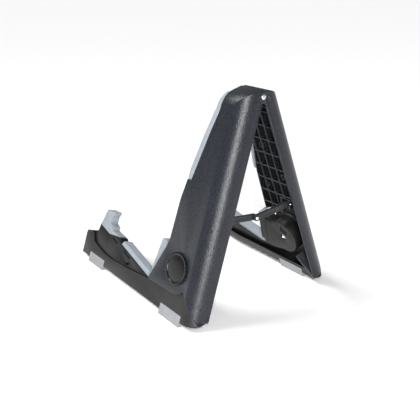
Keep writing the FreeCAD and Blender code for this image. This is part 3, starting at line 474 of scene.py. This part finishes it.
bars, sizes = new_tree("swept bar", {"Thickness": 2 * RIB_HALF * MM, "Depth": 5.4 * MM,
                                     "Edge radius": EDGE_RADIUS * MM})
lines = add(bars, "GeometryNodeMeshToCurve", {"Mesh": sizes["Geometry"]})
section = add(bars, "GeometryNodeCurvePrimitiveQuadrilateral", {"Width": sizes["Thickness"],
                                                                "Height": sizes["Depth"]})
eased = add(bars, "GeometryNodeFilletCurve", {"Curve": section.outputs["Curve"],
                                              "Radius": sizes["Edge radius"]})
swept = add(bars, "GeometryNodeCurveToMesh", {"Curve": lines.outputs["Curve"],
                                              "Profile Curve": eased.outputs["Curve"],
                                              "Fill Caps": True})
close_tree(bars, swept.outputs["Mesh"], sizes["Material"])
print("tree:", bars.name, [item.name for item in bars.interface.items_tree])

# %% [markdown]
# The plate and the swept ribs are made lying closed and in real size, then moved onto their leg.
# The left leg is a mirror image, which turns faces inside out, so its faces are flipped back.

# %% Build the panels
def worker_from(name, points, edges=(), faces=()):
    """A worker object from points in millimetres."""
    mesh = bpy.data.meshes.new(name)
    mesh.from_pydata([Vector(p) * MM for p in points], list(edges), list(faces))
    worker = bpy.data.objects.new(name, mesh)
    bpy.context.collection.objects.link(worker)
    return worker


def stand_up(piece, side):
    """Moves a piece made in closed-leg metres onto its open leg."""
    matrix = leg_matrix(SIDES[side]) @ Matrix.Scale(1 / MM, 4)
    piece.data.transform(matrix)
    if matrix.determinant() < 0:
        piece.data.flip_normals()
    piece.data.update()
    return piece


def merged(name, parts):
    """Joins plain pieces into the first one."""
    shape = bmesh.new()
    for part in parts:
        shape.from_mesh(part.data)
    for part in parts[1:]:
        bpy.data.objects.remove(part)
    shape.to_mesh(parts[0].data)
    shape.free()
    parts[0].name = name
    return parts[0]


def outward(worker):
    """Turns the faces of a closed worker outwards."""
    shape = bmesh.new()
    shape.from_mesh(worker.data)
    bmesh.ops.recalc_face_normals(shape, faces=shape.faces)
    shape.to_mesh(worker.data)
    shape.free()
    return worker


def circle(centre, radius, steps):
    """Points (u, v) spaced evenly round a centre."""
    angles = [2 * math.pi * i / steps for i in range(steps)]
    return [(centre[0] + radius * math.cos(a), centre[1] + radius * math.sin(a)) for a in angles]


def ring_profile(name, profile, material, centre, steps=40):
    """Turns (radius, w) pairs about a line across the leg through centre; zero closes a pole."""
    points, faces, rings = [], [], []
    for radius, w in profile:
        around = circle(centre, radius, steps)[:1 if radius == 0 else steps]
        rings.append(range(len(points), len(points) + len(around)))
        points += [(u, v, w) for u, v in around]
    for low, high in zip(rings, rings[1:]):
        for i in range(steps):
            corners = [low[i % len(low)], low[(i + 1) % len(low)],
                       high[(i + 1) % len(high)], high[i % len(high)]]
            faces.append(tuple(dict.fromkeys(corners)))
    piece = plain_mesh(outward(worker_from(name, points, faces=faces)), name, material)
    piece.data.shade_smooth()
    piece.data.set_sharp_from_angle(angle=math.radians(40))
    return piece


PLATE_OUT, PLATE_THICK = 7.8, 1.8
RIB_MIDDLE = 3.3
PANEL_SCREWS = [(u - BACK_SLOPE * v, v) for u, v in ((22, 19), (34, 72), (9, 112), (44, 132))]
# The cup round each screw, as (radius, w) pairs.
CUP = [(0, 4.6), (2.9, 4.6), (2.9, 1.7), (3.2, 1.5), (3.8, 1.5), (4.0, 1.7), (4.0, 6.2), (0, 6.2)]


def panel_plate():
    """The panel's flat plate with a small radius on its edges."""
    front = [(panel_front(v), v) for v in [PANEL_TOP] + FRONT_LEVELS + [PANEL_STEP[0][0]]]
    corners = front + [(u, v) for v, u in PANEL_STEP[1:]]
    corners += [(panel_rear(PANEL_END), PANEL_END), (panel_rear(PANEL_TOP), PANEL_TOP)]
    plate = worker_from("panel plate", [(u, v, PLATE_OUT) for u, v in corners],
                        faces=[range(len(corners))])
    solid = plate.modifiers.new("thickness", "SOLIDIFY")
    solid.thickness = PLATE_THICK * MM
    solid.offset = -1 if plate.data.polygons[0].normal.z > 0 else 1
    soft = plate.modifiers.new("edge radius", "BEVEL")
    soft.width, soft.segments = EDGE_RADIUS * MM, 2
    return plain_mesh(plate, "panel plate", panel_abs)


def panel_ribs():
    """The lattice of ribs, swept along the rib lines."""
    ends = [point for line in rib_lines() for point in line]
    ribs = worker_from("rib lines", [(u, v, RIB_MIDDLE) for u, v in ends],
                       edges=[(i, i + 1) for i in range(0, len(ends), 2)])
    grow(ribs, bars, {"Material": panel_abs})
    return plain_mesh(ribs, "ribs", panel_abs)


for side in SIDES:
    cups = [ring_profile("cup", CUP, panel_abs, place) for place in PANEL_SCREWS]
    panel = merged(f"{side}_ribbed_panel", [panel_plate(), panel_ribs()] + cups)
    fit(stand_up(panel, side), f"{side}_inner_panel")
    print(f"{panel.name}: {len(panel.data.polygons)} faces")

# %% [markdown]
# ## Screws
# Every screw has the same zinc-plated pan head with a cross recess. One head is modelled once: a
# domed disc with a tapered cross cut out of it. A tree then sets a copy on each screw's place and
# turns each by its own random angle, because no two screws stop at the same turn.

# %% Model one screw head
HEAD_R, HEAD_HIGH, SHANK_R = 2.8, 1.6, 1.4
# The dome as shares of the head's radius and height, from its face to its underside.
DOME = [(0, 0), (0.45, 0.04), (0.8, 0.22), (0.96, 0.55), (1, 0.8), (1, 1), (0, 1)]
BOX_FACES = [(0, 1, 3, 2), (4, 6, 7, 5), (0, 4, 5, 1), (2, 3, 7, 6), (0, 2, 6, 4), (1, 5, 7, 3)]


def screw_head():
    """A domed head facing -w, with a cross recess, in real size round the origin."""
    profile = [(radius * HEAD_R, height * HEAD_HIGH) for radius, height in DOME]
    head = ring_profile("screw head", profile, zinc_steel, (0, 0), steps=32)
    long, wide, deep = HEAD_R * 0.62, HEAD_R * 0.17, HEAD_HIGH * 0.55
    for turn in (0, 90):
        # The recess narrows as it goes deeper.
        box = [(x * long * (1 if z < 0 else 0.7), y * wide, -0.5 if z < 0 else deep)
               for x in (-1, 1) for y in (-1, 1) for z in (-1, 1)]
        cutter = worker_from("recess", box, faces=BOX_FACES)
        cutter.data.transform(Matrix.Rotation(math.radians(turn), 4, "Z"))
        cut = head.modifiers.new("recess", "BOOLEAN")
        cut.operation, cut.object, cut.solver = "DIFFERENCE", cutter, "EXACT"
        head = plain_mesh(head, "screw head", zinc_steel)
        bpy.data.objects.remove(cutter)
    return head


screws, inputs = new_tree("screws on points", {"Seed": 4, "Scale": 1.0})
source = screw_head()
info = add(screws, "GeometryNodeObjectInfo", {"Object": source})
turns = add(screws, "FunctionNodeRandomValue", {"Seed": inputs["Seed"]}, data_type="FLOAT")
turns.inputs["Max"].default_value = math.pi
spin = add(screws, "ShaderNodeCombineXYZ", {"Z": turns.outputs["Value"]})
placed = add(screws, "GeometryNodeInstanceOnPoints", {"Points": inputs["Geometry"],
                                                      "Instance": info.outputs["Geometry"],
                                                      "Rotation": spin.outputs["Vector"],
                                                      "Scale": inputs["Scale"]})
close_tree(screws, placed.outputs["Instances"], inputs["Material"])
print("screw head:", len(source.data.polygons), "faces")

# %% Set the screws in place
PIVOT = (37.0, 223.5)


def shank(place, low, high):
    """A plain shank with a rounded tip, from low to high across the leg."""
    step = (high - low) * 0.1
    profile = [(0, low), (SHANK_R, low), (SHANK_R, high - 2 * step), (SHANK_R * 0.8, high - step),
               (0, high)]
    return ring_profile("shank", profile, zinc_steel, place, steps=20)


def screw_set(name, places, face_w, tip_w, scale, node, side, seed):
    """Screws with their faces at face_w, turned inward, as one piece in the place of a node."""
    points = worker_from("screw places", [(u, v, face_w) for u, v in places])
    grow(points, screws, {"Seed": seed, "Scale": scale, "Material": zinc_steel})
    heads = plain_mesh(points, name, zinc_steel)
    shanks = [shank(place, face_w + 1.2 * scale, tip_w) for place in places]
    return fit(stand_up(merged(name, [heads] + shanks), side), node)


for number, side in enumerate(SIDES):
    screw_set(f"{side}_panel_screw_set", PANEL_SCREWS, 4.2, 13.6, 1.0,
              f"{side}_panel_screws", side, 3 + number)
    screw_set(f"{side}_pivot_screw_head", [PIVOT], 4.7, 24.0, 1.45,
              f"{side}_pivot_screw", side, 7)
bpy.data.objects.remove(source)

# %% [markdown]
# ## Pins
# The hinge and the brace turn on plain steel pins. Their heads are pressed slightly domed with a
# rounded rim, so they are turned from a profile, each about its own axis.

# %% Turn the pins
# Each profile is a list of (radius, distance along the pin) pairs, in millimetres.
HINGE_PROFILE = [(0, 0.05), (2.2, 0.1), (3.1, 0.35), (3.48, 0.8), (3.48, 1.18), (2.9, 1.2),
                 (2.9, 37.8), (3.48, 37.82), (3.48, 38.2), (3.1, 38.7), (2.2, 38.95), (0, 38.98)]
RIVET_PROFILE = [(0, -1.2), (1.5, -1.1), (2.3, -0.7), (2.6, -0.1), (2.6, 0.0), (1.5, 0.0),
                 (1.5, 4.3), (0, 4.35)]
AXLE_PROFILE = [(0, 0.3), (1.1, 0.35), (1.5, 0.8), (1.5, 14.0), (1.1, 14.4), (0, 14.5)]
BRACE_X, BRACE_Z = 54.849, 119.982    # the brace's end pivot on the right
BRACE_SAG = 6.0                       # its centre pivot hangs lower
BRACE_BACK = 5.5                      # its rear face, forward of the hinge's end
AXLE_BACK = 2.3


def turned_pin(name, profile, place, node):
    """A pin with its axis running forward from a place (x, y, z) in millimetres."""
    piece = ring_profile(name, profile, zinc_steel, (0, 0), steps=36)
    turn = Matrix.Rotation(math.radians(90), 4, "X")
    piece.data.transform(Matrix.Translation(Vector(place) * MM) @ turn)
    return fit(piece, node)


turned_pin("hinge_axle", HINGE_PROFILE, (0, HINGE_REAR, HINGE_HEIGHT), "hinge_pin")
turned_pin("brace_rivet", RIVET_PROFILE, (0, HINGE_REAR - BRACE_BACK, BRACE_Z - BRACE_SAG),
           "brace_center_pin")
for side, sign in SIDES.items():
    turned_pin(f"{side}_brace_axle", AXLE_PROFILE,
               (sign * BRACE_X, HINGE_REAR - AXLE_BACK, BRACE_Z), f"{side}_brace_end_pin")
print("pins turned: 4")

# %% [markdown]
# ## The caps
# A round blank cap hides the end of each pivot. It is a shallow dish inside a raised rim, and it
# is turned from a profile with small radii so that its rim draws a thin bright ring.

# %% Turn the caps
CAP_PROFILE = [(0, 26.9), (13.9, 26.9), (13.9, 28.05), (19.3, 28.05), (19.9, 28.5), (20.0, 29.2),
               (19.7, 29.8), (19.1, 30.0), (17.9, 30.0), (17.3, 29.7), (17.0, 29.15), (16.4, 29.0),
               (15.6, 29.1), (8.0, 29.35), (0, 29.45)]
for side in SIDES:
    cap = ring_profile(f"{side}_round_cap", CAP_PROFILE, polished_abs, PIVOT, steps=72)
    fit(stand_up(cap, side), f"{side}_boss_cap")
print("caps turned:", len(SIDES))

# %% [markdown]
# ## The wave washer
# A spring washer between the foot cover and the leg takes up the play of the pivot. It is a flat
# ring bent into three waves, so its height follows a sine round the ring.

# %% Bend a ring into waves
WASHER_LOW, WASHER_HIGH = 24.7, 25.4
WASHER_INNER, WASHER_OUTER = 6.06, 11.0
WAVES = 3
WIRE_HALF = 0.15      # half the thickness of the strip


def wave_ring(name, steps=72):
    """A flat strip bent round the pivot, rising and falling as it goes round."""
    swing = (WASHER_HIGH - WASHER_LOW) / 2 - WIRE_HALF
    section = [(WASHER_INNER, -WIRE_HALF), (WASHER_OUTER, -WIRE_HALF),
               (WASHER_OUTER, WIRE_HALF), (WASHER_INNER, WIRE_HALF)]
    points, faces = [], []
    for i in range(steps):
        angle = 2 * math.pi * i / steps
        middle = (WASHER_LOW + WASHER_HIGH) / 2 + swing * math.sin(WAVES * angle)
        points += [(PIVOT[0] + r * math.cos(angle), PIVOT[1] + r * math.sin(angle), middle + h)
                   for r, h in section]
        here, there = 4 * i, 4 * ((i + 1) % steps)
        faces += [(here + k, here + (k + 1) % 4, there + (k + 1) % 4, there + k) for k in range(4)]
    return plain_mesh(outward(worker_from(name, points, faces=faces)), name, spring_steel)


for side in SIDES:
    washer = stand_up(wave_ring(f"{side}_waved_washer"), side)
    fit(washer, f"{side}_wave_washer")
    print(f"{washer.name}: {len(washer.data.polygons)} faces")

# %% [markdown]
# ## Grip lines
# The rubber of the cradle carries fine raised lines along its length, which hold the instrument.
# A tree lays a row of straight lines side by side and sweeps a small round cord along each, half
# sunk in the pad.

# %% A tree for a row of raised lines
grips, grip_in = new_tree("raised lines", {"Lines": 7, "Pitch": 1.6 * MM, "Radius": 0.28 * MM})
sideways = add(grips, "ShaderNodeCombineXYZ", {"Z": grip_in["Pitch"]})
row = add(grips, "GeometryNodeMeshLine", {"Count": grip_in["Lines"],
                                          "Offset": sideways.outputs["Vector"]}, mode="OFFSET")
copies = add(grips, "GeometryNodeInstanceOnPoints", {"Points": row.outputs["Mesh"],
                                                     "Instance": grip_in["Geometry"]})
loose = add(grips, "GeometryNodeRealizeInstances", {"Geometry": copies.outputs["Instances"]})
paths = add(grips, "GeometryNodeMeshToCurve", {"Mesh": loose.outputs["Geometry"]})
cord = add(grips, "GeometryNodeCurvePrimitiveCircle", {"Resolution": 8,
                                                       "Radius": grip_in["Radius"]})
lined = add(grips, "GeometryNodeCurveToMesh", {"Curve": paths.outputs["Curve"],
                                               "Profile Curve": cord.outputs["Curve"],
                                               "Fill Caps": True})
close_tree(grips, lined.outputs["Mesh"], grip_in["Material"])

# %% Lay the lines on the pads
CORNER = (93.6, 250.6)
FIRST_LINE_W = 10.95
# Each pad's lean above forward in degrees, and where its lines start and end.
PADS = {"finger": (13.2, 4.0, 73.0), "post": (98.4, 5.0, 47.0)}


def from_corner(along, lean):
    """Point (u, v) at a distance from the cradle corner, on a line that leans up from forward."""
    turn = math.radians(lean)
    return CORNER[0] + along * math.cos(turn), CORNER[1] - along * math.sin(turn)


for side in SIDES:
    for label, (lean, start, end) in PADS.items():
        ends = [from_corner(start, lean), from_corner(end, lean)]
        path = worker_from("line", [(u, v, FIRST_LINE_W) for u, v in ends], edges=[(0, 1)])
        grow(path, grips, {"Material": grip_rubber})
        ridges = stand_up(plain_mesh(path, f"{side}_{label}_grip_lines", grip_rubber), side)
        ridges.data.shade_smooth()
        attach(ridges, f"{side}_arm")
        print(f"{ridges.name}: {len(ridges.data.polygons)} faces")

# %% [markdown]
# ## The last small steel parts
# The countersunk screws inside the foot and the pin through the rubber hook keep their CAD shape,
# which is already small and simple. The screws are blackened so that they do not show in the dark
# wall, and the pin is plated.

# %% Finish the carried-over nodes
for side in SIDES:
    for part, material in (("arm_screws", black_steel), ("hook_pin", zinc_steel)):
        mesh = frame["nodes"][f"{side}_{part}"].data
        mesh.materials.clear()
        mesh.materials.append(material)
print("carried-over nodes finished:", 2 * len(SIDES))

# %% [markdown]
# ## The studio
# The stand is shown on a plain pale floor that runs on to the horizon, under soft light. Most of
# it comes from above like a wide white sail. A tall narrow soft box behind the camera draws the
# bright line down the rounded back of the leg, and a dim white world opens the shadows.

# %% Floor, lights and world
floor_white, floor_tree = blank_material("matt white sweep")
floor_place = add(floor_tree, "ShaderNodeTexCoord").outputs["Object"]
floor_grain = add(floor_tree, "ShaderNodeTexNoise", {"Vector": floor_place, "Scale": 40.0,
                                                     "Detail": 2.0})
floor_tone = add(floor_tree, "ShaderNodeMix", {"Factor": floor_grain.outputs["Fac"],
                                               "A": linear("#f4f4f4"), "B": linear("#fbfbfb")},
                 data_type="RGBA")
floor_shader = add(floor_tree, "ShaderNodeBsdfPrincipled", {
    "Base Color": floor_tone.outputs["Result"], "Roughness": 0.9, "Specular IOR Level": 0.1})
add(floor_tree, "ShaderNodeOutputMaterial", {"Surface": floor_shader.outputs["BSDF"]})
floor_mesh = bpy.data.meshes.new("floor")
FAR = 40              # metres from the middle to the floor's edge
floor_mesh.from_pydata([(-FAR, -FAR, 0), (FAR, -FAR, 0), (FAR, FAR, 0), (-FAR, FAR, 0)], [],
                       [(0, 1, 2, 3)])
floor_mesh.materials.append(floor_white)
floor = bpy.data.objects.new("floor", floor_mesh)
bpy.context.collection.objects.link(floor)



def lamp_from(light, place, aim):
    """Hangs a light at a place, shining towards a point."""
    lamp = bpy.data.objects.new(light.name, light)
    lamp.location = place
    lamp.rotation_euler = (Vector(aim) - Vector(place)).to_track_quat("-Z", "Y").to_euler()
    bpy.context.collection.objects.link(lamp)


strip = bpy.data.lights.new("edge strip", "AREA")
strip.shape = "RECTANGLE"
strip.size, strip.size_y = 0.17, 1.4
strip.energy = 48
lamp_from(strip, (0.95, 1.33, 0.60), (0.0, 0.0, 0.12))

sail = bpy.data.lights.new("overhead sail", "SUN")
sail.energy = 2.95
sail.angle = math.radians(28)
lamp_from(sail, (0.50, -0.62, 1.0), (0.0, 0.0, 0.0))

world = bpy.data.worlds.new("studio")
bpy.context.scene.world = world
world.use_nodes = True
background = world.node_tree.nodes["Background"]
background.inputs["Color"].default_value = linear("#ffffff")
background.inputs["Strength"].default_value = 0.29
print("lights:", [light.name for light in bpy.data.lights])

# %% [markdown]
# ## The camera
# The camera stands behind the right leg at table height and looks slightly down, from about
# three quarters of a metre away.

# %% Place the camera
lens = bpy.data.cameras.new("camera")
lens.lens = 52.62
lens.sensor_width = 36.0
camera = bpy.data.objects.new("camera", lens)
camera.location = (0.47486, 0.63638, 0.4069)
camera.rotation_euler = (math.radians(68.07), 0, math.radians(142.25))
bpy.context.collection.objects.link(camera)
bpy.context.scene.camera = camera
bpy.context.scene.view_settings.view_transform = "Standard"
